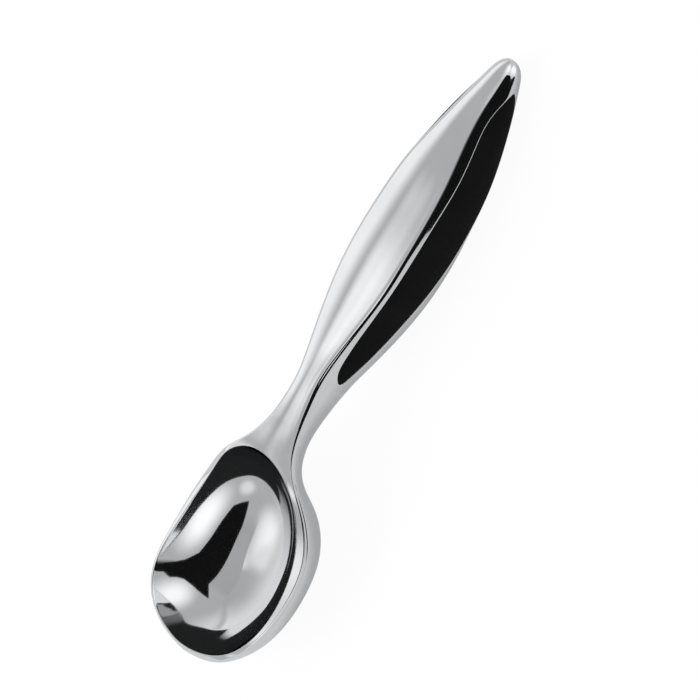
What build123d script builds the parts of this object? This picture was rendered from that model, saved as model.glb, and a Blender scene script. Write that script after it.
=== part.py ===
from build123d import *
import math
import os

# An ice cream scoop: one cast metal body with a bowl, a waisted neck and a swelling handle, and a soft grip
# panel let into each flank of the handle. The scoop lies on a table with its bowl open upwards, its front lip
# towards -X and its handle towards +X. The origin is on the table, under the middle of its outline.

# Overall sizes, in millimetres
bowl_length = 64.0
handle_length = 136.0
bowl_width = 50.8
rim_height = 20.0
neck_height = 27.8
neck_width = 8.8
neck_depth = 15.9
handle_width = 28.2
handle_height = 25.8

# The body's edges and the swell of its sections
lip_roll = 0.3
lip_drop = 1.4
edge_round = 1.5
bowl_lean = 2.0
lean_share = 1.5
lean_limit = 32.0
crown_slope_share = 0.5
bowl_fullness_share = 0.552
handle_fullness_share = 0.72
edge_limit_share = 0.4
flank_pull_share = 0.4

# The bowl's hollow: its mouth leaves a lip in front and reaches back into the neck, and its walls stay open, as
# the lower part of a rounded wall from a share of its depth down
bowl_wall = 7.0
lip_width = 1.8
mouth_reach = 2.2
mouth_length = bowl_length - lip_width + mouth_reach
mouth_width = bowl_width
mouth_height = 27.0
mouth_rise = 6.1
mouth_middle_share = 0.45
front_power = 2.3
back_power = 2.0
wall_power = 2.7
back_wall_power = 2.4
wall_open_share = 0.7
back_open_share = 0.4
mouth_points = 24

# The grip panels: their place along the handle, and their layers from the outside in
grip_front_margin = 29.5
grip_end_margin = 8.5
grip_start = bowl_length + grip_front_margin
grip_length = handle_length - grip_front_margin - grip_end_margin
skin_depth = 1.2
carrier_depth = 1.2
adhesive_depth = 0.4
bond_gap = 0.02
panel_gap = 0.1
web_half = 1.5

# The posts that place each panel in the body
post_diameter = 4.0
post_length = 3.0
post_gap = 0.1
post_slack = 0.3

# How far the cutting shapes run past what they cut
overrun = 20.0

# Rows along the bowl: place along it, half width, rise of the rim towards the neck, height of the underside
bowl_shares = (
    (0.000, 0.063, 0.13, 0.96),
    (0.003, 0.146, 0.14, 0.93),
    (0.009, 0.236, 0.15, 0.90),
    (0.031, 0.410, 0.22, 0.76),
    (0.062, 0.551, 0.30, 0.62),
    (0.117, 0.713, 0.39, 0.44),
    (0.195, 0.854, 0.41, 0.25),
    (0.297, 0.949, 0.31, 0.10),
    (0.422, 0.988, 0.12, 0.02),
    (0.547, 0.988, 0.00, 0.00),
    (0.656, 0.953, 0.01, 0.01),
    (0.750, 0.882, 0.16, 0.08),
    (0.828, 0.795, 0.40, 0.23),
    (0.891, 0.701, 0.66, 0.45),
    (0.945, 0.598, 0.87, 0.68),
    (1.000, 0.480, 0.98, 0.82),
)

# Rows along the neck: place along the handle, half width and height of the edge, half width and drop of the
# belly, and drop of the underside, both below the edge
neck_shares = (
    (0.029, 2.09, 1.000, 2.16, 0.11, 0.69),
    (0.074, 1.50, 0.982, 1.59, 0.18, 0.72),
    (0.132, 1.13, 0.968, 1.36, 0.34, 0.85),
    (0.191, 1.00, 0.960, 1.39, 0.52, 1.00),
    (0.265, 1.27, 0.953, 1.80, 0.70, 1.20),
)

# Rows along the handle: place along it, half width and height of the edge, half width and height of the belly,
# and height of the underside
handle_shares = (
    (0.353, 0.560, 1.000, 0.745, 0.490, 0.155),
    (0.449, 0.695, 0.960, 0.915, 0.420, 0.054),
    (0.544, 0.725, 0.910, 1.000, 0.380, 0.008),
    (0.632, 0.700, 0.845, 1.000, 0.360, 0.000),
    (0.721, 0.617, 0.775, 0.965, 0.340, 0.000),
    (0.809, 0.450, 0.675, 0.820, 0.315, 0.008),
    (0.890, 0.310, 0.543, 0.600, 0.280, 0.023),
    (0.949, 0.227, 0.411, 0.410, 0.252, 0.047),
    (0.982, 0.156, 0.333, 0.280, 0.240, 0.093),
    (0.996, 0.078, 0.283, 0.145, 0.237, 0.160),
    (1.000, 0.026, 0.255, 0.045, 0.237, 0.215),
)

# Levels of the hollow, as angles down its rounded wall from above its mouth
hollow_angles = (-9, 0, 12, 25, 38, 50, 62, 73, 82, 87)

# The panel's leaf outline on the flank: place along the panel and height on the handle
leaf_front_share = 0.75
leaf_back_share = 0.21
leaf_top_shares = ((0.018, 0.830), (0.07, 0.885), (0.26, 0.876), (0.56, 0.742), (0.82, 0.547), (0.97, 0.335))
leaf_bottom_shares = ((0.03, 0.668), (0.18, 0.502), (0.42, 0.320), (0.68, 0.150), (0.88, 0.125), (0.98, 0.160))
post_shares = ((0.34, 0.58), (0.75, 0.36))


def section(x, edge_half, edge_z, belly_half, belly_z, under_z, lean, fullness, inset=0):
    """One cross section of the body at x, drawn in by inset on both flanks."""
    narrowing = (belly_half - inset) / belly_half
    half = edge_half * narrowing
    belly = belly_half * narrowing
    slope = math.atan(crown_slope_share)
    tilt = math.radians(lean)
    roll = min(edge_round, edge_limit_share * half, edge_limit_share * (edge_z - belly_z))
    edge = Vector(x, half, edge_z)
    top = edge + Vector(0, -roll * math.cos(slope), roll * math.sin(slope))
    flank = edge + Vector(0, roll * math.sin(tilt), -roll * math.cos(tilt))
    side = Vector(x, belly, belly_z)
    under = Vector(x, 0, under_z)
    crest = Vector(x, top.Y / 3, top.Z + top.Y * crown_slope_share * 2 / 3)
    pull = (flank.Z - belly_z) * flank_pull_share
    half_loop = [
        (top, top + (edge - top) * 2 / 3, flank + (edge - flank) * 2 / 3, flank),
        (flank, flank + Vector(0, pull * math.tan(tilt), -pull), side + Vector(0, 0, pull), side),
        (side, side + Vector(0, 0, fullness * (under_z - belly_z)), under + Vector(0, fullness * belly), under),
    ]
    crown = (flip(top), flip(crest), crest, top)
    other_half = [tuple(flip(point) for point in reversed(curve)) for curve in reversed(half_loop)]
    return Wire([Bezier(*curve) for curve in [crown, *half_loop, *other_half]])


def flip(point):
    """The point's twin across the scoop's middle plane."""
    return Vector(point.X, -point.Y, point.Z)


def bowl_rows():
    """The bowl's cross sections, as the arguments of section."""
    for along, wide, rise, under in bowl_shares:
        half = wide * bowl_width / 2
        edge_z = rim_height + rise * (neck_height - rim_height)
        yield (along * bowl_length, half, edge_z, half + lip_roll, edge_z - lip_drop, under * rim_height,
               bowl_lean, bowl_fullness_share)


def flank_lean(out, down):
    """How far a flank leans out below its edge: more than straight to the belly, so that it stays full."""
    return min(lean_share * math.degrees(math.atan2(out, down)), lean_limit)


def handle_rows():
    """The neck's and the handle's cross sections, as the arguments of section."""
    for step, (along, wide, high, belly, drop, deep) in enumerate(neck_shares, 1):
        edge_z = high * neck_height
        turn = step / (len(neck_shares) + 1)
        yield (bowl_length + along * handle_length, wide * neck_width / 2, edge_z, belly * neck_width / 2,
               edge_z - drop * neck_depth, edge_z - deep * neck_depth,
               flank_lean((belly - wide) * neck_width / 2, drop * neck_depth),
               bowl_fullness_share + turn * (handle_fullness_share - bowl_fullness_share))
    for along, wide, high, belly, level, under in handle_shares:
        yield (bowl_length + along * handle_length, wide * handle_width / 2, high * handle_height,
               belly * handle_width / 2, level * handle_height, under * handle_height,
               flank_lean((belly - wide) * handle_width / 2, (high - level) * handle_height), handle_fullness_share)


def hull():
    """The whole outer form, from the front lip to the end of the handle."""
    return Solid.make_loft([section(*row) for row in [*bowl_rows(), *handle_rows()]])


def core(inset):
    """The neck and handle drawn in by inset on both flanks."""
    rows = [row for row in handle_rows() if row[3] > inset + web_half / 2]
    return Solid.make_loft([section(*row, inset=inset) for row in rows])


def round_share(share, power, open_share):
    """How much of its width a rounded wall keeps at a share of its depth, if it starts at an open share."""
    down = open_share + (1 - open_share) * share
    return ((1 - down**power) / (1 - open_share**power)) ** (1 / power)


def mouth_outline(down_share, level):
    """The hollow's outline at a share of its depth: blunt in front and rounder towards the neck."""
    front = mouth_length * mouth_middle_share * round_share(down_share, wall_power, wall_open_share)
    back = mouth_length * (1 - mouth_middle_share) * round_share(down_share, back_wall_power, back_open_share)
    half = mouth_width / 2 * round_share(down_share, wall_power, wall_open_share)
    points = []
    for step in range(mouth_points):
        turn = 2 * math.pi * step / mouth_points
        along, across = math.cos(turn), math.sin(turn)
        reach, power = (back, back_power) if along > 0 else (front, front_power)
        spread = (abs(along) ** power + abs(across) ** power) ** (-1 / power)
        points.append((reach * along * spread, half * across * spread, level))
    return Wire([Spline(*points, periodic=True)])


def hollow():
    """The space inside the bowl, with its way out upwards, tilted with the mouth."""
    depth = mouth_height - bowl_wall
    shares = [math.sin(math.radians(angle)) for angle in hollow_angles]
    outlines = [mouth_outline(share, -share * depth) for share in shares]
    space = Solid.make_loft(outlines)
    space += extrude(Face(outlines[0]), amount=overrun, dir=(0, 0, 1))
    middle = lip_width + mouth_length * mouth_middle_share
    tilt = math.degrees(math.atan2(mouth_rise, mouth_length))
    return space.moved(Location((middle, 0, mouth_height), (0, -tilt, 0)))


def leaf(gap):
    """The left panel's outline as a cutter through the left flank, drawn in by gap all round."""
    def places(shares, side):
        return [(grip_start + along * grip_length, -web_half, high * handle_height + side * gap)
                for along, high in shares]

    front = (grip_start + gap, -web_half, leaf_front_share * handle_height)
    back = (grip_start + grip_length - gap, -web_half, leaf_back_share * handle_height)
    top = places(leaf_top_shares, -1)
    bottom = reversed(places(leaf_bottom_shares, 1))
    outline = Spline(front, *top, back, *bottom, periodic=True)
    return extrude(Face(Wire([outline])), amount=handle_width / 2 + overrun, dir=(0, -1, 0))


def posts(diameter):
    """Rods across the left flank where the panel's posts stand."""
    rods = []
    for along, high in post_shares:
        face = Face(Wire([Circle(diameter / 2).wire().edge()]))
        place = Location((grip_start + along * grip_length, -web_half, high * handle_height), (90, 0, 0))
        rods.append(extrude(face.moved(place), amount=handle_width / 2 + overrun, dir=(0, -1, 0)))
    return rods


def build():
    """Every piece of the scoop, by its name."""
    carrier_top = skin_depth + bond_gap
    carrier_floor = carrier_top + carrier_depth
    adhesive_top = carrier_floor + bond_gap
    adhesive_floor = adhesive_top + adhesive_depth
    pocket_floor = adhesive_floor + bond_gap
    post_floor = pocket_floor + post_length

    form = hull()
    panel = leaf(panel_gap)
    skin = (form & panel) - core(skin_depth)
    carrier_form = core(carrier_top)
    carrier = (carrier_form & panel) - core(carrier_floor)
    post_end = core(post_floor)
    for rod in posts(post_diameter):
        carrier += (carrier_form & rod) - post_end
    adhesive = (core(adhesive_top) & panel) - core(adhesive_floor)
    pocket = leaf(0) - core(pocket_floor)
    hole_end = core(post_floor + post_slack)
    for rod in posts(post_diameter + 2 * post_gap):
        adhesive -= rod
        pocket += rod - hole_end
    body = form - hollow() - pocket - pocket.mirror(Plane.XZ)

    pieces = {"scoop_body": body}
    for name, piece in (("grip_skin", skin), ("grip_carrier", carrier), ("grip_adhesive", adhesive)):
        pieces[f"left_{name}"] = piece
        pieces[f"right_{name}"] = piece.mirror(Plane.XZ)
    return pieces


pieces = build()
lowest = pieces["scoop_body"].bounding_box().min.Z
home = Location((-(bowl_length + handle_length) / 2, 0, -lowest))
os.makedirs("parts", exist_ok=True)
for name, piece in pieces.items():
    export_step(piece.moved(home), f"parts/{name}.step")
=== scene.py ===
"""Dresses a solid ice cream scoop: a bright plated casting with a soft grip panel let into each flank."""
import logging
import math
from dataclasses import dataclass
from enum import Enum
from functools import cached_property, partial, reduce
from typing import Iterator, Sequence

import bmesh
import bpy
import numpy as np
from mathutils import Matrix, Vector


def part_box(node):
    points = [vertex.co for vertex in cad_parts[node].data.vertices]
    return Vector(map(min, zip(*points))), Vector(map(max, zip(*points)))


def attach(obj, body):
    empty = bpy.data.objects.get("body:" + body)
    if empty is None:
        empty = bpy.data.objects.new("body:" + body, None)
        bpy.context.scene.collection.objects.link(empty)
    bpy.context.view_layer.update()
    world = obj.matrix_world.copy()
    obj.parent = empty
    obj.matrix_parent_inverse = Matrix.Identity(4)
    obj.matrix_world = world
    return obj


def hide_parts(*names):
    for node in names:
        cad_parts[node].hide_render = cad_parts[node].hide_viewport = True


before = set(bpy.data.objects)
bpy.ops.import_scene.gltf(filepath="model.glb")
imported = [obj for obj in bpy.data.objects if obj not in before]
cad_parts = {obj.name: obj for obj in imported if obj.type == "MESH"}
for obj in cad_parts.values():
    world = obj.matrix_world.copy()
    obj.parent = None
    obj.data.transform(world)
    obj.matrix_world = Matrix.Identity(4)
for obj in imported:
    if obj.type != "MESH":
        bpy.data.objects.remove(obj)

LOG = logging.getLogger("scoop")
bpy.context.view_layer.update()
BODY = "root"
WELD = 1e-6

# Places round a section
CROWN_EDGE_V = 1.0
FLANK_TOP_V = 2.0
UNDER_MIDDLE_V = 4.0

# A card shows in a first reflection if the ray that meets it is less deep than this
FIRST_REFLECTION = 1.5

Array = np.ndarray
Pair = tuple[float, float]
Place = tuple[float, float, float]
Colour = tuple[float, float, float, float]
Socket = bpy.types.NodeSocket

# Rows along the bowl: place along it, half width, rise of the rim towards the neck, height of the underside
BOWL_SHARES = (
    (0.000, 0.063, 0.13, 0.96),
    (0.003, 0.146, 0.14, 0.93),
    (0.009, 0.236, 0.15, 0.90),
    (0.031, 0.410, 0.22, 0.76),
    (0.062, 0.551, 0.30, 0.62),
    (0.117, 0.713, 0.39, 0.44),
    (0.195, 0.854, 0.41, 0.25),
    (0.297, 0.949, 0.31, 0.10),
    (0.422, 0.988, 0.12, 0.02),
    (0.547, 0.988, 0.00, 0.00),
    (0.656, 0.953, 0.01, 0.01),
    (0.750, 0.882, 0.16, 0.08),
    (0.828, 0.795, 0.40, 0.23),
    (0.891, 0.701, 0.66, 0.45),
    (0.945, 0.598, 0.87, 0.68),
    (1.000, 0.480, 0.98, 0.82),
)

# Rows along the neck: place along the handle, half width and height of the edge, half width and drop of the
# belly, and drop of the underside, both below the edge
NECK_SHARES = (
    (0.029, 2.09, 1.000, 2.16, 0.11, 0.69),
    (0.074, 1.50, 0.982, 1.59, 0.18, 0.72),
    (0.132, 1.13, 0.968, 1.36, 0.34, 0.85),
    (0.191, 1.00, 0.960, 1.39, 0.52, 1.00),
    (0.265, 1.27, 0.953, 1.80, 0.70, 1.20),
)

# Rows along the handle: place along it, half width and height of the edge, half width and height of the
# belly, and height of the underside
HANDLE_SHARES = (
    (0.353, 0.560, 1.000, 0.745, 0.490, 0.155),
    (0.449, 0.695, 0.960, 0.915, 0.420, 0.054),
    (0.544, 0.725, 0.910, 1.000, 0.380, 0.008),
    (0.632, 0.700, 0.845, 1.000, 0.360, 0.000),
    (0.721, 0.617, 0.775, 0.965, 0.340, 0.000),
    (0.809, 0.450, 0.675, 0.820, 0.315, 0.008),
    (0.890, 0.310, 0.543, 0.600, 0.280, 0.023),
    (0.949, 0.227, 0.411, 0.410, 0.252, 0.047),
    (0.982, 0.156, 0.333, 0.280, 0.240, 0.093),
    (0.996, 0.078, 0.283, 0.145, 0.237, 0.160),
    (1.000, 0.026, 0.255, 0.045, 0.237, 0.215),
)

# The grip panel's leaf outline on the flank: place along the panel and height on the handle
LEAF_FRONT_SHARE = (0.0, 0.75)
LEAF_BACK_SHARE = (1.0, 0.21)
LEAF_TOP_SHARES = (
    (0.018, 0.830), (0.07, 0.885), (0.26, 0.876), (0.56, 0.742), (0.82, 0.547), (0.97, 0.335),
)
LEAF_BOTTOM_SHARES = (
    (0.03, 0.668), (0.18, 0.502), (0.42, 0.320), (0.68, 0.150), (0.88, 0.125), (0.98, 0.160),
)


class Side(Enum):
    """The two flanks of the handle, by the sign of Y."""

    LEFT = -1
    RIGHT = 1


class Slot(Enum):
    """The record's material slots for the pieces that are built here."""

    CASTING = "plated_casting"
    SKIN = "soft_grip"


@dataclass(frozen=True)
class SmoothCurve:
    """A twice smooth curve through rows of values, read at distances along the rows.

    Attributes:
        knots: Distance at which each row lies.
        values: The rows themselves.
        bends: Second derivative of the values at each row.
        closed: Whether the last row is the first one again.
    """

    knots: Array
    values: Array
    bends: Array
    closed: bool

    @classmethod
    def through(cls, values: Array, steps: Array, closed: bool = False) -> "SmoothCurve":
        """Finds the curve through rows of values.

        Args:
            values: One row of values for each knot.
            steps: Distance from each row to the next, and back to the first on a closed curve.
            closed: Whether the curve runs round to its first row.

        Returns:
            The smooth curve.
        """
        count = len(values)
        system = np.zeros((count, count))
        wanted = np.zeros_like(values)
        for row in range(count) if closed else range(1, count - 1):
            before, after = steps[row - 1], steps[row]
            ahead = (row + 1) % count
            system[row, row - 1] += before
            system[row, row] += 2 * (before + after)
            system[row, ahead] += after
            slope_ahead = (values[ahead] - values[row]) / after
            slope_behind = (values[row] - values[row - 1]) / before
            wanted[row] = 6 * (slope_ahead - slope_behind)
        if not closed:
            system[0, :3] = steps[1], -steps[0] - steps[1], steps[0]
            system[-1, -3:] = steps[-1], -steps[-1] - steps[-2], steps[-2]
        bends = np.linalg.solve(system, wanted)
        if closed:
            values = np.vstack([values, values[:1]])
            bends = np.vstack([bends, bends[:1]])
        knots = np.concatenate([[0.0], np.cumsum(steps)])
        return cls(knots, values, bends, closed)

    @property
    def length(self) -> float:
        """The distance from the first row to the last."""
        return float(self.knots[-1])

    def at(self, distance: Array) -> Array:
        """Reads the curve.

        Args:
            distance: Distances along the curve.

        Returns:
            One row of values for each distance.
        """
        distance = np.mod(distance, self.length) if self.closed else np.clip(distance, 0.0, self.length)
        span = np.clip(np.searchsorted(self.knots, distance, side="right") - 1, 0, len(self.knots) - 2)
        step = (self.knots[span + 1] - self.knots[span])[:, None]
        ahead = (distance - self.knots[span])[:, None] / step
        back = 1 - ahead
        bend = (back**3 - back) * self.bends[span] + (ahead**3 - ahead) * self.bends[span + 1]
        return back * self.values[span] + ahead * self.values[span + 1] + bend * step**2 / 6


def pairs(y: Array, z: Array) -> Array:
    """Joins Y and Z values to rows of points in a cross section."""
    return np.stack(np.broadcast_arrays(y, z), axis=-1)


@dataclass(frozen=True)
class ScoopForm:
    """The casting's outer form, a smooth run of cross sections from the front lip to the handle's end.

    A place on it is (u, v). u is the distance along the rows of sections. v runs round a section: 0 at the
    middle of the crown, 1 at the crown's edge, 2 below the rolled edge, 3 at the belly and 4 under the
    middle. Negative v is the -Y side. Lengths are in metres, angles in degrees.
    """

    bowl_length: float = 0.0640
    handle_length: float = 0.1360
    bowl_width: float = 0.0508
    rim_height: float = 0.0200
    neck_height: float = 0.0278
    neck_width: float = 0.0088
    neck_depth: float = 0.0159
    handle_width: float = 0.0282
    handle_height: float = 0.0258
    lip_roll: float = 0.0003
    lip_drop: float = 0.0014
    edge_round: float = 0.0015
    bowl_lean: float = 2.0
    lean_share: float = 1.5
    lean_limit: float = 32.0
    crown_slope_share: float = 0.5
    bowl_fullness_share: float = 0.552
    handle_fullness_share: float = 0.72
    edge_limit_share: float = 0.4
    flank_pull_share: float = 0.4
    fine_rows: int = 4000

    def flank_lean(self, out: float, down: float) -> float:
        """How far a flank leans out below its edge, which is past its belly, so that it stays full."""
        return min(self.lean_share * math.degrees(math.atan2(out, down)), self.lean_limit)

    def sections(self) -> Iterator[tuple[float, ...]]:
        """Goes through the sections of the bowl, the neck and the handle.

        Returns:
            Rows of x, edge half width and height, belly half width and height, underside, lean and fullness.
        """
        for along, wide, rise, under in BOWL_SHARES:
            half = wide * self.bowl_width / 2
            edge = self.rim_height + rise * (self.neck_height - self.rim_height)
            yield (along * self.bowl_length, half, edge, half + self.lip_roll, edge - self.lip_drop,
                   under * self.rim_height, self.bowl_lean, self.bowl_fullness_share)
        half = self.neck_width / 2
        for step, (along, wide, high, belly, drop, deep) in enumerate(NECK_SHARES, 1):
            edge = high * self.neck_height
            turn = step / (len(NECK_SHARES) + 1)
            fuller = turn * (self.handle_fullness_share - self.bowl_fullness_share)
            yield (self.bowl_length + along * self.handle_length, wide * half, edge, belly * half,
                   edge - drop * self.neck_depth, edge - deep * self.neck_depth,
                   self.flank_lean((belly - wide) * half, drop * self.neck_depth),
                   self.bowl_fullness_share + fuller)
        half = self.handle_width / 2
        for along, wide, high, belly, level, under in HANDLE_SHARES:
            yield (self.bowl_length + along * self.handle_length, wide * half, high * self.handle_height,
                   belly * half, level * self.handle_height, under * self.handle_height,
                   self.flank_lean((belly - wide) * half, (high - level) * self.handle_height),
                   self.handle_fullness_share)

    @cached_property
    def rows(self) -> SmoothCurve:
        """All sections as one smooth run, with x, widths and heights setting the distance between them."""
        table = np.array(list(self.sections()))
        steps = np.linalg.norm(np.diff(table[:, :6], axis=0), axis=1)
        return SmoothCurve.through(table, steps)

    @cached_property
    def fine(self) -> Array:
        """Distances along the rows, close together."""
        return np.linspace(0.0, self.rows.length, self.fine_rows)

    def u_at(self, x: Array) -> Array:
        """The distance along the rows at which the section stands at x."""
        return np.interp(x, self.rows.at(self.fine)[:, 0], self.fine)

    def edge_roll(self, half: Array, drop: Array) -> Array:
        """How far the crown's edge is rolled, less where a section is narrow or shallow."""
        return np.minimum(self.edge_round, self.edge_limit_share * np.minimum(half, drop))

    def crown_edge(self, u: Array) -> Array:
        """Finds the crown's edge.

        Args:
            u: Distances along the rows.

        Returns:
            Rows of half width and height.
        """
        _, half, edge, _, belly_z, *_ = self.rows.at(u).T
        roll = self.edge_roll(half, edge - belly_z)
        slope = math.atan(self.crown_slope_share)
        return pairs(half - roll * math.cos(slope), edge + roll * math.sin(slope))

    def crown_height(self, u: Array, y: Array) -> Array:
        """The crown's height at u and y: a low arch between its two edges."""
        half, edge = self.crown_edge(u).T
        return edge + self.crown_slope_share * (half**2 - y**2) / (2 * half)

    def place(self, u: Array, v: Array, inset: float | Array = 0.0) -> Array:
        """Finds points of the form.

        Args:
            u: Distances along the rows.
            v: Places round the sections.
            inset: How far the flanks are drawn in there.

        Returns:
            Rows of x, y and z, with x from the front lip.
        """
        x, half, edge_z, belly, belly_z, under_z, lean, fullness = self.rows.at(u).T
        roll = self.edge_roll(half, edge_z - belly_z)
        tilt = np.radians(lean)
        top_y, top_z = self.crown_edge(u).T
        edge = pairs(half, edge_z)
        top = pairs(top_y, top_z)
        flank = pairs(half + roll * np.sin(tilt), edge_z - roll * np.cos(tilt))
        side = pairs(belly, belly_z)
        under = pairs(np.zeros_like(under_z), under_z)
        arch = self.crown_slope_share * top_y / 2
        pull = (flank[:, 1] - belly_z) * self.flank_pull_share
        curves = np.stack([
            [pairs(0 * top_y, top_z + arch), pairs(top_y / 3, top_z + arch),
             pairs(top_y * 2 / 3, top_z + arch * 2 / 3), top],
            [top, top + (edge - top) * 2 / 3, flank + (edge - flank) * 2 / 3, flank],
            [flank, flank + pairs(pull * np.tan(tilt), -pull), side + pairs(0 * pull, pull), side],
            [side, side + pairs(0 * pull, fullness * (under_z - belly_z)),
             under + pairs(fullness * belly, 0 * pull), under],
        ])
        zone = np.minimum(np.abs(v).astype(int), len(curves) - 1)
        t = np.abs(v) - zone
        shares = np.stack([(1 - t)**3, 3 * t * (1 - t)**2, 3 * t**2 * (1 - t), t**3])
        y, z = np.einsum("kn,nkc->cn", shares, curves[zone, :, np.arange(len(t))])
        return np.stack([x, np.sign(v) * y * (belly - inset) / belly, z], axis=-1)

    @cached_property
    def home(self) -> Array:
        """The form's place in the frame: its lip at the body's low end and its underside on the table."""
        low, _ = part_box("scoop_body")
        under = self.place(self.fine, np.full_like(self.fine, UNDER_MIDDLE_V))[:, 2].min()
        return np.array([low.x, 0.0, low.z - under])


@dataclass(frozen=True)
class BowlHollow:
    """The space inside the bowl.

    A place on its wall is (t, share). t is the distance round the mouth, and share is a share of the depth.
    """

    form: ScoopForm
    wall: float = 0.0070
    lip_width: float = 0.0018
    reach: float = 0.0022
    height: float = 0.0270
    rise: float = 0.0061
    edge_round: float = 0.00022
    middle_share: float = 0.45
    front_power: float = 2.3
    back_power: float = 2.0
    wall_power: float = 2.7
    back_wall_power: float = 2.4
    open_share: float = 0.7
    back_open_share: float = 0.4
    points: int = 24
    fine_turns: int = 720
    lowest_share: float = 0.6
    highest_share: float = -0.12

    @property
    def length(self) -> float:
        """The mouth's length, from the lip to where it reaches into the neck."""
        return self.form.bowl_length - self.lip_width + self.reach

    @property
    def width(self) -> float:
        """The hollow's width at its mouth's own plane, above the rims."""
        return self.form.bowl_width

    @cached_property
    def outline(self) -> SmoothCurve:
        """Draws the mouth's outline.

        Returns:
            The outline, as rows of reach to the back, reach to the front and half width.
        """
        rows = []
        for step in range(self.points):
            turn = 2 * math.pi * step / self.points
            along, across = math.cos(turn), math.sin(turn)
            power = self.back_power if along > 0 else self.front_power
            spread = (abs(along)**power + abs(across)**power)**(-1 / power)
            rows.append((max(along, 0.0) * spread * self.length * (1 - self.middle_share),
                         min(along, 0.0) * spread * self.length * self.middle_share,
                         across * spread * self.width / 2))
        table = np.array(rows)
        flat = np.stack([table[:, 0] + table[:, 1], table[:, 2]], axis=-1)
        steps = np.linalg.norm(np.roll(flat, -1, axis=0) - flat, axis=1)
        return SmoothCurve.through(table, steps, closed=True)

    @staticmethod
    def kept(share: Array, power: float, open_share: float) -> Array:
        """How much of its width a rounded wall keeps at a share of its depth, if it starts part open."""
        down = np.clip(open_share + (1 - open_share) * share, 0.0, 1.0)
        return ((1 - down**power) / (1 - open_share**power))**(1 / power)

    def place(self, t: Array, share: Array) -> Array:
        """Finds points of the hollow's wall.

        Args:
            t: Distances round the mouth's outline.
            share: Shares of the depth, 0 at the mouth's own plane and 1 on the floor.

        Returns:
            Rows of x, y and z, with x from the front lip.
        """
        back, front, across = self.outline.at(t).T
        keep = self.kept(share, self.wall_power, self.open_share)
        along = back * self.kept(share, self.back_wall_power, self.back_open_share) + front * keep
        level = -share * (self.height - self.wall)
        tilt = math.atan2(self.rise, self.length)
        middle = self.lip_width + self.length * self.middle_share
        return np.stack([
            middle + along * math.cos(tilt) - level * math.sin(tilt),
            across * keep,
            self.height + along * math.sin(tilt) + level * math.cos(tilt),
        ], axis=-1)

    @cached_property
    def edge(self) -> Array:
        """Finds the mouth's edge on the crown, three times round.

        Returns:
            Rows of bearing from the mouth's middle, t, depth share, u and v.
        """
        turns = np.linspace(0.0, self.outline.length, self.fine_turns, endpoint=False)
        shares = np.linspace(self.highest_share, self.lowest_share, self.fine_turns)
        rows = []
        for t in turns:
            wall = self.place(np.full_like(shares, t), shares)
            drop = self.form.crown_height(self.form.u_at(wall[:, 0]), wall[:, 1]) - wall[:, 2]
            share = np.interp(0.0, drop, shares)
            x, y, _ = self.place(np.array([t]), np.array([share]))[0]
            u = self.form.u_at(np.array([x]))
            rows.append((self.bearing(x, y), t, share, u[0], y / self.form.crown_edge(u)[0, 0]))
        table = np.array(rows)
        table[:, 0] = np.unwrap(table[:, 0])
        turn = np.array([2 * math.pi, self.outline.length, 0.0, 0.0, 0.0])
        return np.vstack([table - turn, table, table + turn])

    def bearing(self, x: Array, y: Array) -> Array:
        """The direction of a point from the mouth's middle, anticlockwise from +X."""
        return np.arctan2(y, x - self.lip_width - self.length * self.middle_share)


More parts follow.
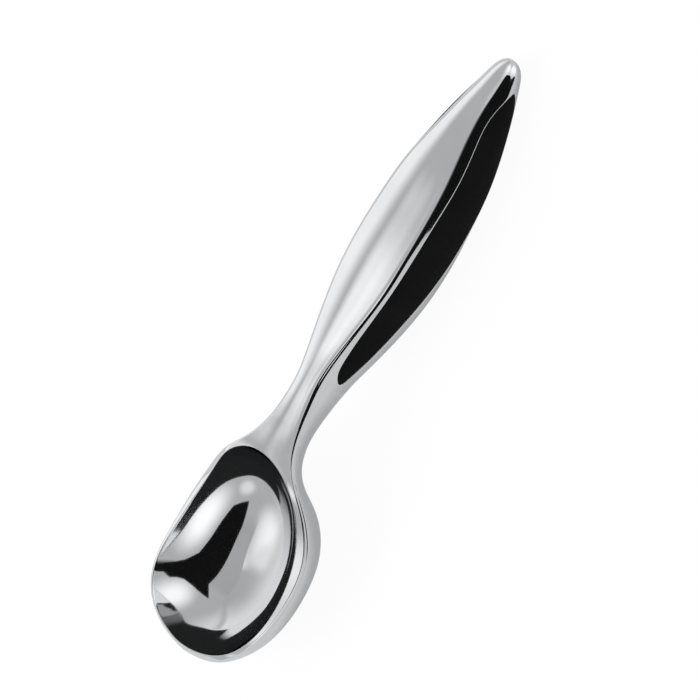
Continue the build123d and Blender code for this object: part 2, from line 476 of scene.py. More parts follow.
@dataclass(frozen=True)
class GripLeaf:
    """The leaf outline that the grip panels fill, on one flank of the handle."""

    form: ScoopForm
    front_margin: float = 0.0295
    end_margin: float = 0.0085
    gap: float = 0.0001
    tip_reach: float = 0.0030
    fine_turns: int = 720
    fine_places: int = 240

    @property
    def start(self) -> float:
        """Where the panel starts, from the front lip."""
        return self.form.bowl_length + self.front_margin

    @property
    def length(self) -> float:
        """The panel's length."""
        return self.form.handle_length - self.front_margin - self.end_margin

    def outline(self, gap: float) -> SmoothCurve:
        """Draws the leaf from its front tip along its bottom to its back tip, and back along its top.

        Args:
            gap: How far the outline is drawn in.

        Returns:
            The outline, as rows of x and z.
        """
        corners = [(LEAF_FRONT_SHARE, gap, 0.0)]
        corners += [(share, 0.0, gap) for share in LEAF_BOTTOM_SHARES]
        corners += [(LEAF_BACK_SHARE, -gap, 0.0)]
        corners += [(share, 0.0, -gap) for share in reversed(LEAF_TOP_SHARES)]
        height = self.form.handle_height
        table = np.array([(self.start + along * self.length + shift_x, high * height + shift_z)
                          for (along, high), shift_x, shift_z in corners])
        steps = np.linalg.norm(np.roll(table, -1, axis=0) - table, axis=1)
        return SmoothCurve.through(table, steps, closed=True)

    def on_form(self, x: Array, z: Array) -> Array:
        """Finds where points seen on the flank lie on the form.

        Args:
            x: Distances from the front lip.
            z: Heights.

        Returns:
            Rows of u and v, with v on the +Y side.
        """
        u = self.form.u_at(x)
        round_flank = np.linspace(FLANK_TOP_V, UNDER_MIDDLE_V, self.fine_places)
        v = []
        for distance, height in zip(u, z):
            heights = self.form.place(np.full_like(round_flank, distance), round_flank)[:, 2]
            v.append(np.interp(-height, -heights, round_flank))
        return np.stack([u, np.array(v)], axis=-1)

    def matched(self, loop: Array) -> Array:
        """Finds the outline's point for each point of a loop round it, straight across at the leaf's sides.

        Args:
            loop: The loop's u and v, in the outline's order and with v on the +Y side.

        Returns:
            The outline's u and v.
        """
        curve = self.outline(0.0)
        turns = np.linspace(0.0, curve.length, self.fine_turns)
        x = curve.at(turns)[:, 0]
        back = int(np.argmax(x))
        lengthwise = self.form.rows.at(loop[:, 0])[:, 0]
        low = loop[:, 1] > (loop[:, 1].max() + loop[:, 1].min()) / 2
        beside = (lengthwise > self.start + self.tip_reach) & (
            lengthwise < self.start + self.length - self.tip_reach)
        edge = (loop[:, 1] == loop[:, 1].max()) | (loop[:, 1] == loop[:, 1].min())
        known = np.flatnonzero(beside & edge)
        t = np.where(low, np.interp(lengthwise, x[:back], turns[:back]),
                     np.interp(-lengthwise, -x[back:], turns[back:]))[known]
        count = len(loop)
        places = np.concatenate([[known[-1] - count], known, [known[0] + count]])
        distances = np.concatenate([[t[-1] - curve.length], t, [t[0] + curve.length]])
        spot = curve.at(np.interp(np.arange(count), places, distances))
        return self.on_form(spot[:, 0], spot[:, 1])


def block_loop(rows: range, columns: range) -> list[tuple[int, int]]:
    """Goes once round a block of a grid.

    Args:
        rows: The block's rows.
        columns: The block's columns.

    Returns:
        The row and column of each vertex on the way.
    """
    first, last = rows[0], rows[-1]
    loop = [(first, column) for column in columns]
    loop += [(row, columns[-1]) for row in rows[1:]]
    loop += [(last, column) for column in reversed(columns[:-1])]
    loop += [(row, columns[0]) for row in reversed(rows[1:-1])]
    return loop


def add_sheet(bm: bmesh.types.BMesh, places: Array) -> list[bmesh.types.BMVert]:
    """Adds a grid of faces laid on rows of places.

    Args:
        bm: The mesh to add to.
        places: Points by row and column.

    Returns:
        The grid's vertices, row by row.
    """
    rows, columns, _ = places.shape
    verts = bmesh.ops.create_grid(bm, x_segments=columns - 1, y_segments=rows - 1, size=1.0)["verts"]
    for vert, place in zip(verts, places.reshape(-1, 3)):
        vert.co = place
    return verts


def closed_rows(rings: Sequence[Array]) -> Array:
    """Stacks rings of points as rows of a sheet whose last column meets its first."""
    table = np.stack(rings)
    return np.concatenate([table, table[:, :1]], axis=1)


def new_object(name: str, data: bpy.types.ID) -> bpy.types.Object:
    """Makes an object of its data and puts it in the scene."""
    made = bpy.data.objects.new(name, data)
    bpy.context.scene.collection.objects.link(made)
    return made


def mesh_object(name: str, bm: bmesh.types.BMesh) -> bpy.types.Object:
    """Makes an object of a mesh.

    Args:
        name: The object's name.
        bm: The mesh, which is freed.

    Returns:
        The new object, in the scene.
    """
    mesh = bpy.data.meshes.new(name)
    bm.to_mesh(mesh)
    bm.free()
    return new_object(name, mesh)


def finish_mesh(bm: bmesh.types.BMesh, name: str, slot: Slot, *nodes: str) -> bpy.types.Object:
    """Closes a mesh's seams and makes it a piece that stands for CAD nodes.

    Args:
        bm: The mesh, which is freed.
        name: The piece's name.
        slot: The record's slot for its finish; not used.
        nodes: The nodes that it replaces.

    Returns:
        The new piece.
    """
    bmesh.ops.remove_doubles(bm, verts=bm.verts, dist=WELD)
    bmesh.ops.recalc_face_normals(bm, faces=bm.faces)
    for face in bm.faces:
        face.smooth = True
    open_edges = sum(not edge.is_manifold for edge in bm.edges)
    piece = mesh_object(name, bm)
    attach(piece, BODY)
    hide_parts(*nodes)
    LOG.info("%s: %d faces, %d open edges", name, len(piece.data.polygons), open_edges)
    return piece


@dataclass(frozen=True)
class Casting:
    """The bowl, neck and handle in one bright casting, with the bowl's hollow and a pocket in each flank."""

    form: ScoopForm
    hollow: BowlHollow
    leaf: GripLeaf
    name: str = "polished_casting"
    rows: int = 420
    crown_columns: int = 12
    roll_columns: int = 6
    flank_columns: int = 18
    under_columns: int = 24
    lip_lead: float = 0.0003
    neck_lead: float = 0.0030
    pocket_lead: float = 0.0022
    pocket_floor_v: float = 3.75
    pocket_depth: float = 0.00286
    pocket_round: float = 0.0005
    collar_shares: tuple[float, ...] = (0.0, 0.3, 0.55, 0.75, 0.9, 1.0)
    least_collar_share: float = 0.5
    round_shares: tuple[float, ...] = (0.25, 0.5, 0.75)
    hollow_rings: int = 64
    floor_shares: tuple[float, ...] = (1.0, 0.7, 0.4, 0.0)

    @cached_property
    def grid_u(self) -> Array:
        """The distances along the form of the grid's rows."""
        return np.linspace(0.0, self.form.rows.length, self.rows)

    @cached_property
    def grid_v(self) -> Array:
        """The places round a section of the grid's columns, from under the middle round to there again."""
        half = [0.0]
        counts = (self.crown_columns, self.roll_columns, self.flank_columns, self.under_columns)
        for zone, count in enumerate(counts):
            half += [zone + (step + 1) / count for step in range(count)]
        return np.array([-v for v in reversed(half[1:])] + half)

    def rows_between(self, low: float, high: float) -> range:
        """Finds the grid's rows along a stretch of the form.

        Args:
            low: Where it starts, from the front lip.
            high: Where it ends, from the front lip.

        Returns:
            The numbers of the rows.
        """
        x = self.form.rows.at(self.grid_u)[:, 0]
        inside = np.flatnonzero((x >= low) & (x <= high))
        return range(inside[0], inside[-1] + 1)

    def columns_between(self, low: float, high: float) -> range:
        """The grid's columns from low to high round the section."""
        inside = np.flatnonzero((self.grid_v >= low) & (self.grid_v <= high))
        return range(inside[0], inside[-1] + 1)

    def spot(self, loop: list[tuple[int, int]]) -> Array:
        """The u and v of grid vertices."""
        return np.array([(self.grid_u[row], self.grid_v[column]) for row, column in loop])

    def on_form(self, spot: Array, inset: float = 0.0) -> Array:
        """Points of the form in the frame, from rows of u and v."""
        return self.form.place(spot[:, 0], spot[:, 1], inset) + self.form.home

    def collar(self, outer: Array, inner: Array, radius: float) -> list[Array]:
        """Rings on the form from a loop in to an edge, ending one radius before it.

        Args:
            outer: The loop's u and v.
            inner: The edge's u and v.
            radius: How much of the way is left for the edge's round.

        Returns:
            The rings, as u and v.
        """
        way = np.linalg.norm(self.on_form(outer) - self.on_form(inner), axis=1)
        end = np.maximum(1 - radius / way, self.least_collar_share)[:, None]
        return [outer + (inner - outer) * share * end for share in self.collar_shares]

    def rounding(self, start: Array, corner: Array, end: Array) -> list[Array]:
        """Rings that round a corner from start to end."""
        return [(1 - t)**2 * start + 2 * t * (1 - t) * corner + t**2 * end for t in self.round_shares]

    def mouth_rings(self, loop: list[tuple[int, int]]) -> list[Array]:
        """Leads rings from a loop round the mouth over its edge and down the hollow to its floor.

        Args:
            loop: The loop's grid vertices.

        Returns:
            The rings' points.
        """
        outer = self.spot(loop)
        x, y, _ = self.form.place(*outer.T).T
        bearing, *columns = self.hollow.edge.T
        t, share, u, v = (np.interp(self.hollow.bearing(x, y), bearing, column) for column in columns)
        inner = np.stack([u, v], axis=-1)
        radius = self.hollow.edge_round
        rings = [self.on_form(spot) for spot in self.collar(outer, inner, radius)]
        start = np.arcsin(share + radius / (self.hollow.height - self.hollow.wall))
        depths = [np.sin(start + (math.pi / 2 - start) * step / self.hollow_rings)
                  for step in range(self.hollow_rings + 1)]
        wall = [self.hollow.place(t, depth) + self.form.home for depth in depths]
        return rings + self.rounding(rings[-1], self.on_form(inner), wall[0]) + wall

    def pocket_rings(self, loop: list[tuple[int, int]], side: Side) -> list[Array]:
        """Leads rings from a loop round a pocket over its edge and down to its floor.

        Args:
            loop: The loop's grid vertices.
            side: The pocket's flank.

        Returns:
            The rings' points.
        """
        outer = self.spot(loop)
        flipped = np.array([1.0, side.value])
        inner = self.leaf.matched(outer * flipped) * flipped
        rings = [self.on_form(spot) for spot in self.collar(outer, inner, self.pocket_round)]
        lower = self.on_form(inner, self.pocket_round)
        rings += self.rounding(rings[-1], self.on_form(inner), lower) + [lower]
        middle = inner.mean(axis=0)
        return rings + [self.on_form(middle + (inner - middle) * share, self.pocket_depth)
                        for share in self.floor_shares]

    def build(self) -> bpy.types.Object:
        """Builds the casting as one closed mesh.

        Returns:
            The casting, which replaces the CAD body.
        """
        bm = bmesh.new()
        u, v = np.meshgrid(self.grid_u, self.grid_v, indexing="ij")
        places = self.on_form(np.stack([u.ravel(), v.ravel()], axis=-1)).reshape(*u.shape, 3)
        ends = [np.repeat(places[row, :-1].mean(axis=0)[None], len(self.grid_v), axis=0) for row in (0, -1)]
        verts = add_sheet(bm, np.concatenate([ends[:1], places, ends[1:]]))
        by_row = np.array(verts, dtype=object).reshape(-1, len(self.grid_v))[1:-1]

        mouth = (self.rows_between(self.lip_lead, self.form.bowl_length + self.hollow.reach + self.neck_lead),
                 self.columns_between(-CROWN_EDGE_V, CROWN_EDGE_V))
        along = self.rows_between(self.leaf.start - self.pocket_lead,
                                  self.leaf.start + self.leaf.length + self.pocket_lead)
        right = (along, self.columns_between(FLANK_TOP_V, self.pocket_floor_v))
        left = (along, self.columns_between(-self.pocket_floor_v, -FLANK_TOP_V)[::-1])
        rings = [self.mouth_rings(block_loop(*mouth)), self.pocket_rings(block_loop(*right), Side.RIGHT),
                 self.pocket_rings(block_loop(*left), Side.LEFT)]
        inside = [by_row[row, column] for rows, columns in (mouth, right, left)
                  for row in rows[1:-1] for column in columns[1:-1]]
        bmesh.ops.delete(bm, geom=inside, context="VERTS")
        for ring in rings:
            add_sheet(bm, closed_rows(ring))
        return finish_mesh(bm, self.name, Slot.CASTING, "scoop_body")


@dataclass(frozen=True)
class GripSkin:
    """The soft moulding that fills one flank's pocket, flush with the casting."""

    form: ScoopForm
    leaf: GripLeaf
    side: Side
    depth: float = 0.0012
    columns: int = 360
    rim_shares: tuple[float, ...] = (0.0, 0.15, 0.3, 0.45, 0.6, 0.72, 0.82, 0.9, 0.95, 0.98, 0.992)
    rim_insets: tuple[float, ...] = (0.00003, 0.00008, 0.00015)
    rim_ends: tuple[float, ...] = (0.996, 0.999, 1.0)
    back_shares: tuple[float, ...] = (1.0, 0.6, 0.0)

    @property
    def word(self) -> str:
        """The side's word in names."""
        return self.side.name.lower()

    def build(self) -> bpy.types.Object:
        """Builds the moulding as one closed mesh.

        Returns:
            The moulding, which replaces its CAD node.
        """
        curve = self.leaf.outline(self.leaf.gap)
        x, z = curve.at(np.linspace(0.0, curve.length, self.columns, endpoint=False)).T
        edge = self.leaf.on_form(x, z)
        middle = edge.mean(axis=0)
        levels = [(share, 0.0) for share in self.rim_shares]
        levels += list(zip(self.rim_ends, self.rim_insets))
        levels += [(share, self.depth) for share in self.back_shares]
        rings = []
        for share, inset in levels:
            u, v = (middle + (edge - middle) * share).T
            rings.append(self.form.place(u, v * self.side.value, inset) + self.form.home)
        bm = bmesh.new()
        add_sheet(bm, closed_rows(rings))
        return finish_mesh(bm, f"{self.word}_soft_moulding", Slot.SKIN, f"{self.word}_grip_skin")


class Tree:
    """A node tree with short ways to add and join nodes."""

    def __init__(self, tree: bpy.types.NodeTree) -> None:
        """Clears a node tree for use."""
        self.tree = tree
        tree.nodes.clear()

    @classmethod
    def material(cls, name: str) -> tuple[bpy.types.Material, "Tree"]:
        """Makes an empty material and its tree."""
        made = bpy.data.materials.new(name)
        made.use_nodes = True
        return made, cls(made.node_tree)

    def add(self, kind: str, sockets: dict[str | int, object] | None = None,
            **settings: object) -> bpy.types.Node:
        """Adds a node.

        Args:
            kind: Blender's name for the node.
            sockets: Values or output sockets for its inputs, by name or number.
            settings: The node's own settings.

        Returns:
            The new node.
        """
        node = self.tree.nodes.new(kind)
        for name, value in settings.items():
            setattr(node, name, value)
        for name, value in (sockets or {}).items():
            if isinstance(value, Socket):
                self.tree.links.new(value, node.inputs[name])
            else:
                node.inputs[name].default_value = value
        return node

    def coords(self) -> Socket:
        """The piece's own coordinates."""
        return self.add("ShaderNodeTexCoord").outputs["Object"]

    def span(self, value: Socket, low: float, high: float, to_low: float = 0.0,
             to_high: float = 1.0) -> Socket:
        """Maps a value's span from low and high to another, held at its ends."""
        limits = {"From Min": low, "From Max": high, "To Min": to_low, "To Max": to_high}
        return self.add("ShaderNodeMapRange", {"Value": value, **limits}).outputs["Result"]

    def fade(self, value: Socket, low: float, high: float) -> Socket:
        """Rises smoothly from 0 at low to 1 at high."""
        limits = {"From Min": low, "From Max": high}
        return self.add("ShaderNodeMapRange", {"Value": value, **limits},
                        interpolation_type="SMOOTHSTEP").outputs["Result"]

    def maths(self, operation: str, *values: Socket | float) -> Socket:
        """Works out one value from others."""
        return self.add("ShaderNodeMath", dict(enumerate(values)), operation=operation).outputs["Value"]

    def blend(self, share: Socket, first: Socket | float, second: Socket | float) -> Socket:
        """Goes from the first value to the second by a share."""
        return self.add("ShaderNodeMix", {0: share, 2: first, 3: second}, data_type="FLOAT").outputs[0]

    def tint(self, share: Socket, first: Colour, second: Colour) -> Socket:
        """Goes from the first colour to the second by a share."""
        return self.add("ShaderNodeMix", {0: share, 6: first, 7: second}, data_type="RGBA").outputs[2]

    def bump(self, height: Socket, strength: float, depth: float) -> Socket:
        """Shades the surface as if it rose with a height."""
        relief = {"Height": height, "Strength": strength, "Distance": depth}
        return self.add("ShaderNodeBump", relief).outputs["Normal"]

    def tone(self, level: float) -> Socket:
        """A plain grey that shows as it is, whatever the light."""
        return self.add("ShaderNodeEmission", {"Color": grey(level)}).outputs["Emission"]

    def mix(self, share: Socket, first: Socket, second: Socket) -> Socket:
        """Goes from the first shader to the second by a share."""
        return self.add("ShaderNodeMixShader", {0: share, 1: first, 2: second}).outputs["Shader"]

    def close(self, surface: Socket) -> None:
        """Joins a shader to the material's output."""
        self.add("ShaderNodeOutputMaterial", {"Surface": surface})


def grey(level: float) -> Colour:
    """A neutral colour of one level."""
    return level, level, level, 1.0


@dataclass(frozen=True)
class HandlingMarks:
    """A shared effect: faint wiped smudges and fine hairlines that handling leaves on a surface."""

    name: str = "handling_marks"
    smudge_scale: float = 45.0
    smudge_detail: float = 4.0
    smudge_roughness: float = 0.6
    smudge_span: Pair = (0.42, 0.72)
    hairline_scale: float = 900.0
    hairline_detail: float = 2.0
    hairline_stretch: float = 0.03
    hairline_turn: Place = (0.1, 0.2, 0.35)
    hairline_span: Pair = (0.55, 0.75)

    def group(self) -> bpy.types.NodeTree:
        """Makes the node group once.

        Returns:
            The group, with Vector as its input and Smudge and Hairline as its outputs.
        """
        made = bpy.data.node_groups.get(self.name)
        if made:
            return made
        made = bpy.data.node_groups.new(self.name, "ShaderNodeTree")
        made.interface.new_socket("Vector", in_out="INPUT", socket_type="NodeSocketVector")
        for mark in ("Smudge", "Hairline"):
            made.interface.new_socket(mark, in_out="OUTPUT", socket_type="NodeSocketFloat")
        tree = Tree(made)
        source = tree.add("NodeGroupInput").outputs["Vector"]
        cloud = tree.add("ShaderNodeTexNoise", {
            "Vector": source, "Scale": self.smudge_scale, "Detail": self.smudge_detail,
            "Roughness": self.smudge_roughness})
        along = tree.add("ShaderNodeMapping", {
            "Vector": source, "Rotation": self.hairline_turn, "Scale": (self.hairline_stretch, 1.0, 1.0)})
        grain = tree.add("ShaderNodeTexNoise", {
            "Vector": along.outputs["Vector"], "Scale": self.hairline_scale, "Detail": self.hairline_detail})
        tree.add("NodeGroupOutput", {
            "Smudge": tree.span(cloud.outputs["Fac"], *self.smudge_span),
            "Hairline": tree.span(grain.outputs["Fac"], *self.hairline_span)})
        return made

    def outputs(self, tree: Tree, coords: Socket) -> tuple[Socket, Socket]:
        """The smudges and the hairlines at a material's coordinates."""
        smudge, hairline = tree.add("ShaderNodeGroup", {"Vector": coords}, node_tree=self.group()).outputs
        return smudge, hairline


@dataclass(frozen=True)
class Finish:
    """A finish that makes one procedural material.

    Attributes:
        name: The material's name.
        colours: Its colours where it is clean and where it is marked.
        roughness: Its roughness where it is clean and where it is marked.
        marked_span: The marks between which its roughness turns.
        relief: The strength and the depth of its grain.
        metallic: Whether it is a metal, as 1 or 0.
        shine: How strongly it shines, if it isn't a metal.
    """

    name: str
    colours: tuple[Colour, Colour]
    roughness: Pair
    relief: Pair
    marked_span: Pair = (0.0, 1.0)
    metallic: float = 0.0
    shine: float = 0.5

    def surface(self, tree: Tree, coords: Socket) -> tuple[Socket, Socket]:
        """The marks and the height of the grain at a material's coordinates."""
        raise NotImplementedError

    def material(self) -> bpy.types.Material:
        """Makes the material.

        Returns:
            The new material.
        """
        material, tree = Tree.material(self.name)
        marks, height = self.surface(tree, tree.coords())
        shader = tree.add("ShaderNodeBsdfPrincipled", {
            "Base Color": tree.tint(marks, *self.colours),
            "Metallic": self.metallic,
            "Roughness": tree.span(marks, *self.marked_span, *self.roughness),
            "Normal": tree.bump(height, *self.relief),
            "Specular IOR Level": self.shine})
        tree.close(shader.outputs["BSDF"])
        return material


@dataclass(frozen=True)
class BrightPlating(Finish):
    """Bright polished plating, with faint smudges and hairlines in its gloss."""

    name: str = "bright_plating"
    colours: tuple[Colour, Colour] = ((0.80, 0.81, 0.825, 1.0), (0.74, 0.75, 0.77, 1.0))
    roughness: Pair = (0.045, 0.075)
    relief: Pair = (0.02, 0.00002)
    metallic: float = 1.0

    def surface(self, tree: Tree, coords: Socket) -> tuple[Socket, Socket]:
        """The smudges and the hairlines at a material's coordinates."""
        return HandlingMarks().outputs(tree, coords)


@dataclass(frozen=True)
class SoftMoulding(Finish):
    """Matt black soft-touch moulding with a fine grain."""

    name: str = "soft_moulding"
    colours: tuple[Colour, Colour] = ((0.0060, 0.0060, 0.0064, 1.0), (0.0085, 0.0085, 0.0088, 1.0))
    roughness: Pair = (0.62, 0.52)
    relief: Pair = (0.25, 0.00004)
    shine: float = 0.03
    grain_scale: float = 2600.0

    def surface(self, tree: Tree, coords: Socket) -> tuple[Socket, Socket]:
        """The smudges and the height of the grain at a material's coordinates."""
        grain = tree.add("ShaderNodeTexVoronoi", {"Vector": coords, "Scale": self.grain_scale})
        return HandlingMarks().outputs(tree, coords)[0], grain.outputs["Distance"]


@dataclass(frozen=True)
class HiddenPlastic(Finish):
    """Plain moulded plastic of the hidden layers, with a faint moulding grain."""

    name: str = "rigid_backing"
    colours: tuple[Colour, Colour] = ((0.05, 0.05, 0.052, 1.0), (0.07, 0.07, 0.072, 1.0))
    roughness: Pair = (0.45, 0.6)
    relief: Pair = (0.15, 0.00005)
    marked_span: Pair = (0.3, 0.7)
    grain_scale: float = 700.0
    grain_detail: float = 3.0

    def surface(self, tree: Tree, coords: Socket) -> tuple[Socket, Socket]:
        """The grain at a material's coordinates, which is its marks and its height."""
        grain = tree.add("ShaderNodeTexNoise", {
            "Vector": coords, "Scale": self.grain_scale, "Detail": self.grain_detail}).outputs["Fac"]
        return grain, grain


@dataclass(frozen=True)
class HiddenFilm(HiddenPlastic):
    """Pale bonding film of the hidden layers."""

    name: str = "adhesive_film"
    colours: tuple[Colour, Colour] = ((0.50, 0.49, 0.45, 1.0), (0.58, 0.57, 0.53, 1.0))


def dress(piece: bpy.types.Object, material: bpy.types.Material) -> None:
    """Gives a piece one material all over."""
    piece.data.materials.clear()
    piece.data.materials.append(material)


@dataclass(frozen=True)
class Glow:
    """A painted highlight: a soft-edged bright patch of the studio, far off, which only polished surfaces
    show and which lights nothing.

    Attributes:
        azimuth: Where its middle stands, in degrees anticlockwise from +X.
        elevation: How high its middle stands, in degrees.
        width: How far it reaches to each side of its middle, in degrees.
        height: How far it reaches above and below its middle, in degrees.
        level: How bright it is.
        edge: The share of its reach over which it fades.
    """

    azimuth: float
    elevation: float
    width: float
    height: float
    level: float
    edge: float

    def over(self, tree: Tree, towards: Socket, level: Socket | float) -> Socket:
        """Paints the highlight's patch over a level of brightness.

        Args:
            tree: The world's node tree.
            towards: The direction.
            level: The brightness outside the patch.

        Returns:
            The brightness in each direction.
        """
        for axis, angle in (((0.0, 0.0, 1.0), -self.azimuth), ((0.0, 1.0, 0.0), self.elevation)):
            towards = tree.add("ShaderNodeVectorRotate", {
                "Vector": towards, "Axis": axis, "Angle": math.radians(angle)}).outputs["Vector"]
        ahead, aside, above = tree.add("ShaderNodeSeparateXYZ", {"Vector": towards}).outputs
        away = tree.maths("DIVIDE", tree.maths("ARCTAN2", aside, ahead), math.radians(self.width))
        off = tree.maths("DIVIDE", tree.maths("ARCSINE", above), math.radians(self.height))
        squares = tree.maths("ADD", tree.maths("MULTIPLY", away, away), tree.maths("MULTIPLY", off, off))
        outside = tree.fade(tree.maths("SQRT", squares), 1.0 - self.edge, 1.0 + self.edge)
        return tree.blend(tree.maths("SUBTRACT", 1.0, outside), level, self.level)


class Seen(Enum):
    """The reflections that a card shows in, by the test for the ray's depth."""

    ALWAYS = ""
    FIRST = "LESS_THAN"
    LATER = "GREATER_THAN"


class Lay(Enum):
    """How a card lies, by the number of the axis that it is square to."""

    UPRIGHT = 1
    LEVEL = 2


@dataclass(frozen=True)
class PaintedReflectionCard:
    """A painted reflection: a flat card beside the scoop, which only polished surfaces show. It gives a plain
    self-lit dark or bright tone that lights nothing and casts no shadow.

    Attributes:
        name: Its name.
        lay: How it lies.
        at: Where it lies along the axis that it is square to.
        rows: Its points by the other two axes, row by row.
        level: How bright its painted reflection is.
        fades: Where it thins out, as an axis and the places along it where it is clear and where it is solid.
        seen: Which reflections it shows in.
        nearest: How far away a surface must be to show it.
        farthest: How far away a surface may be to show it.
    """

    name: str
    lay: Lay
    at: float
    rows: tuple[tuple[tuple[float, float], ...], ...]
    # Near black by default: a painted dark reflection in the plating
    level: float = 0.006
    fades: tuple[tuple[str, float, float], ...] = ()
    seen: Seen = Seen.ALWAYS
    nearest: float = 0.0
    farthest: float = 10.0

    def material(self) -> bpy.types.Material:
        """Makes the card's painted reflection, a plain self-lit tone, clear where it thins out and to the
        rays that it doesn't show to.

        Returns:
            The new material.
        """
        material, tree = Tree.material(self.name)
        place = tree.add("ShaderNodeSeparateXYZ", {"Vector": tree.coords()}).outputs
        path = tree.add("ShaderNodeLightPath").outputs
        shares = [tree.fade(place[axis], clear, full) for axis, clear, full in self.fades]
        if self.seen is not Seen.ALWAYS:
            shares.append(tree.maths(self.seen.value, path["Ray Depth"], FIRST_REFLECTION))
        for test, limit in (("GREATER_THAN", self.nearest), ("LESS_THAN", self.farthest)):
            shares.append(tree.maths(test, path["Ray Length"], limit))
        solid = reduce(partial(tree.maths, "MULTIPLY"), shares)
        clear = tree.add("ShaderNodeBsdfTransparent").outputs["BSDF"]
        tree.close(tree.mix(solid, clear, tree.tone(self.level)))
        return material

    def build(self) -> None:
        """Hangs the card where only glossy rays meet it, as a painted reflection."""
        bm = bmesh.new()
        add_sheet(bm, np.insert(np.array(self.rows), self.lay.value, self.at, axis=2))
        card = mesh_object(self.name, bm)
        dress(card, self.material())
        for ray in ("camera", "diffuse", "shadow", "transmission"):
            setattr(card, f"visible_{ray}", False)


@dataclass(frozen=True)
class Studio:
    """The plain floor, the soft light and the camera, with the painted reflections and highlights of a studio
    that only polished surfaces show.
    """

    floor_radius: float = 4.0
    floor_sides: int = 96
    floor_level: float = 0.88
    floor_roughness: float = 0.9
    floor_white: float = 0.94
    # How grey the floor's painted shade makes it in reflections, and how much of it
    floor_painted_shade_level: float = 0.45
    floor_painted_shade_share: float = 0.6
    target: Place = (0.0024, 0.0, 0.0138)
    towards_camera: Place = (0.2078, -0.5748, 0.7912)
    camera_up: Place = (0.8756, 0.4698, 0.1114)
    lens: float = 300.0
    sensor: float = 36.0
    frame_width: float = 0.2057
    view_end: float = 100.0
    softbox_place: Place = (-0.6, 0.4, 0.9)
    softbox_size: float = 0.7
    softbox_watts: float = 9.0
    sky_level: float = 0.75
    # Grey of the sky in first reflections only, below the sky's own light: painted shade
    painted_reflection_level: float = 0.51
    # Near-black sky in later reflections: painted shade
    inner_painted_shade_level: float = 0.02
    # Painted highlights: bright patches of sky that only glossy rays see
    glows: tuple[Glow, ...] = (
        Glow(85.0, 8.0, 50.0, 32.0, 1.05, 0.5),
        Glow(115.0, 70.0, 12.0, 12.0, 1.05, 0.9),
        Glow(-118.0, 66.0, 14.0, 10.0, 0.92, 0.9),
        Glow(132.0, 40.0, 14.0, 12.0, 1.15, 0.85),
        Glow(-175.0, 79.0, 14.0, 14.0, 1.15, 0.9),
        Glow(-120.0, 18.0, 23.0, 14.0, 1.25, 0.8),
        Glow(-172.0, 22.0, 9.0, 7.0, 0.85, 0.6),
        Glow(-29.0, 15.0, 18.0, 18.0, 1.2, 0.8),
    )
    # A dim painted glow in later reflections
    inner_painted_glow: Glow = Glow(-95.0, 36.0, 35.0, 9.0, 0.20, 0.3)
    # Painted reflections: dark cards paint shade and bright cards paint highlights into the plating's
    # reflections
    painted_reflection_cards: tuple[PaintedReflectionCard, ...] = (
        PaintedReflectionCard("camera_side_painted_dark_reflection", Lay.LEVEL, 0.06, (
            ((-0.1206, 0.0056), (-0.0964, 0.0094), (-0.0547, -0.0008), (-0.0381, 0.0140)),
            ((-0.1180, -0.0183), (-0.0964, -0.0183), (-0.0547, -0.0200), (-0.0355, -0.0200)),
            ((-0.0950, -0.0333), (-0.0780, -0.0340), (-0.0500, -0.0360), (-0.0325, -0.0370)),
            ((-0.0769, -0.0453), (-0.0620, -0.0470), (-0.0450, -0.0490), (-0.0297, -0.0494)),
            ((-0.0589, -0.0800), (-0.0440, -0.0800), (-0.0290, -0.0800), (-0.0144, -0.0800)),
            ((-0.0394, -0.1356), (-0.0190, -0.1356), (0.0020, -0.1356), (0.0230, -0.1356)),
            ((0.1150, -0.6000), (0.1420, -0.6000), (0.1700, -0.6000), (0.1970, -0.6000)),
        ), seen=Seen.FIRST, nearest=0.046),
        PaintedReflectionCard("handle_side_painted_dark_reflection", Lay.UPRIGHT, -0.09, (
            ((-0.07, 0.014), (0.005, 0.014), (0.018, 0.019), (0.027, 0.023), (0.036, 0.020), (0.16, 0.019)),
            ((-0.07, 0.040), (0.018, 0.063), (0.033, 0.067), (0.044, 0.070), (0.054, 0.072), (0.20, 0.110)),
        ), fades=(("Z", 0.095, 0.055), ("X", -0.056, -0.044)), farthest=0.125),
        PaintedReflectionCard("bowl_side_painted_reflection", Lay.UPRIGHT, 0.05, (
            ((-0.105, 0.03), (0.0, 0.03)),
            ((-0.105, 0.11), (0.0, 0.11)),
        ), level=0.48, fades=(("X", -0.105, -0.093), ("X", -0.021, -0.033)), seen=Seen.FIRST),
        PaintedReflectionCard("bowl_low_painted_highlight", Lay.UPRIGHT, 0.0495, (
            ((-0.105, 0.03), (0.0, 0.03)),
            ((-0.105, 0.09), (0.0, 0.09)),
        ), level=0.85, fades=(("X", -0.105, -0.093), ("X", -0.030, -0.038), ("Z", 0.085, 0.035)),
            seen=Seen.FIRST),
        PaintedReflectionCard("bowl_roof_painted_reflection", Lay.LEVEL, 0.11, (
            ((-0.16, 0.05), (0.0, 0.05)),
            ((-0.16, -0.03), (0.0, -0.03)),
        ), level=0.44, fades=(("X", -0.16, -0.125), ("X", -0.015, -0.045)), seen=Seen.FIRST),
        PaintedReflectionCard("inner_painted_highlight", Lay.LEVEL, 0.062, (
            ((-0.145, 0.020), (-0.090, 0.026), (-0.068, 0.0270), (-0.055, 0.022), (-0.030, 0.017)),
            ((-0.145, 0.000), (-0.090, 0.003), (-0.070, 0.0035), (-0.055, 0.004), (-0.030, 0.003)),
        ), level=1.05, fades=(("X", -0.145, -0.075), ("X", -0.030, -0.042)), seen=Seen.LATER),
        PaintedReflectionCard("inner_front_painted_reflection", Lay.LEVEL, 0.062, (
            ((-0.0665, 0.0), (-0.058, 0.0)),
            ((-0.0660, -0.018), (-0.052, -0.018)),
            ((-0.0540, -0.031), (-0.032, -0.031)),
        ), level=0.45, seen=Seen.LATER),
    )

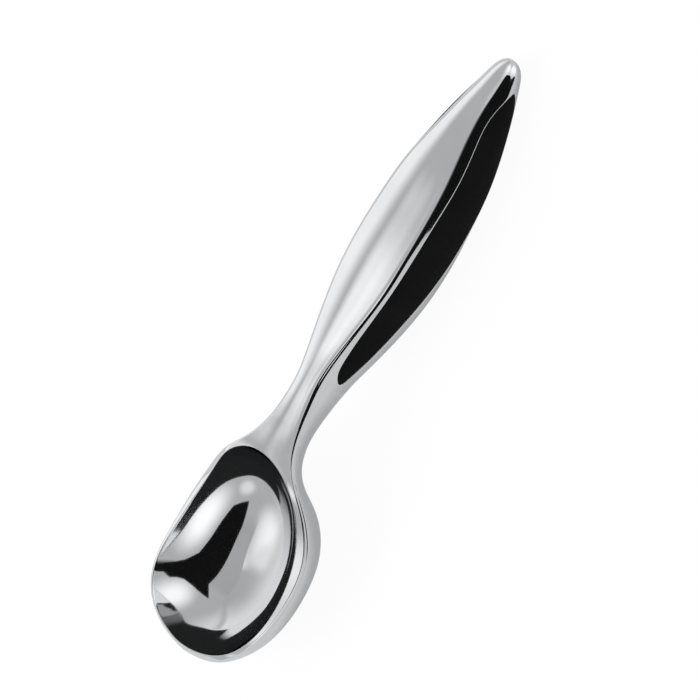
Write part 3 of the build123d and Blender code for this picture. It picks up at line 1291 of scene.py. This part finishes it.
    def camera(self) -> None:
        """Places the camera at the photo's angle."""
        data = bpy.data.cameras.new("camera")
        data.lens = self.lens
        data.sensor_width = self.sensor
        data.clip_end = self.view_end
        back = Vector(self.towards_camera).normalized()
        right = Vector(self.camera_up).cross(back).normalized()
        turn = Matrix((right, back.cross(right), back)).transposed().to_4x4()
        spot = Vector(self.target) + back * self.frame_width * self.lens / self.sensor
        camera = new_object("camera", data)
        camera.matrix_world = Matrix.Translation(spot) @ turn
        bpy.context.scene.camera = camera

    def floor(self) -> None:
        """Lays the plain pale floor, almost white to the camera and, with painted shade, greyer in polished
        surfaces.
        """
        bm = bmesh.new()
        bmesh.ops.create_circle(bm, cap_ends=True, segments=self.floor_sides, radius=self.floor_radius)
        floor = mesh_object("floor", bm)
        material, tree = Tree.material("pale_floor")
        surface = tree.add("ShaderNodeBsdfPrincipled", {
            "Base Color": grey(self.floor_level), "Roughness": self.floor_roughness}).outputs["BSDF"]
        path = tree.add("ShaderNodeLightPath").outputs
        # Glossy rays see the floor darkened by painted shade; camera rays see it almost white
        for ray, share, level in (("Is Glossy Ray", self.floor_painted_shade_share, self.floor_painted_shade_level),
                                  ("Is Camera Ray", self.floor_white, 1.0)):
            surface = tree.mix(tree.maths("MULTIPLY", path[ray], share), surface, tree.tone(level))
        tree.close(surface)
        dress(floor, material)

    def softbox(self) -> None:
        """Hangs the lamp that faces the scoop and lights its dull surfaces."""
        data = bpy.data.lights.new("overhead_softbox", "AREA")
        data.shape = "SQUARE"
        data.size = self.softbox_size
        data.energy = self.softbox_watts
        lamp = new_object("overhead_softbox", data)
        lamp.location = self.softbox_place
        lamp.rotation_mode = "QUATERNION"
        aim = Vector(self.target) - Vector(self.softbox_place)
        lamp.rotation_quaternion = aim.to_track_quat("-Z", "Y")
        lamp.visible_glossy = False

    def sky(self) -> None:
        """Sets the even light all round, and paints what polished surfaces show: a grey sky with the painted
        highlights of the glows in first reflections, and near-black painted shade with one dim painted glow
        in later ones.
        """
        world = bpy.data.worlds.new("studio")
        bpy.context.scene.world = world
        world.use_nodes = True
        tree = Tree(world.node_tree)
        towards = tree.add("ShaderNodeTexCoord").outputs["Generated"]
        shown = self.painted_reflection_level
        for glow in self.glows:
            shown = glow.over(tree, towards, shown)
        inner = self.inner_painted_glow.over(tree, towards, self.inner_painted_shade_level)
        path = tree.add("ShaderNodeLightPath").outputs
        # The sky counts a ray one deeper than a card does
        later = tree.maths("GREATER_THAN", path["Ray Depth"], FIRST_REFLECTION + 1)
        # Glossy rays see painted highlights and painted shade; other rays see the plain sky light
        level = tree.blend(path["Is Glossy Ray"], self.sky_level, tree.blend(later, shown, inner))
        level = tree.blend(path["Is Camera Ray"], level, 1.0)
        sky = tree.add("ShaderNodeBackground", {"Color": level, "Strength": 1.0})
        tree.add("ShaderNodeOutputWorld", {"Surface": sky.outputs["Background"]})

    def build(self) -> None:
        """Sets up the floor, the light and the camera."""
        self.floor()
        for painted_reflection_card in self.painted_reflection_cards:
            painted_reflection_card.build()
        self.softbox()
        self.sky()
        self.camera()
        bpy.context.scene.view_settings.view_transform = "Standard"


def main() -> None:
    """Builds the scoop's pieces in order and dresses them."""
    logging.basicConfig(level=logging.INFO, format="%(message)s")
    form = ScoopForm()
    leaf = GripLeaf(form)
    dress(Casting(form, BowlHollow(form), leaf).build(), BrightPlating().material())
    moulding = SoftMoulding().material()
    backing = HiddenPlastic().material()
    film = HiddenFilm().material()
    for side in Side:
        skin = GripSkin(form, leaf, side)
        dress(skin.build(), moulding)
        dress(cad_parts[f"{skin.word}_grip_carrier"], backing)
        dress(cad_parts[f"{skin.word}_grip_adhesive"], film)
    Studio().build()


if __name__ == "__main__":
    main()
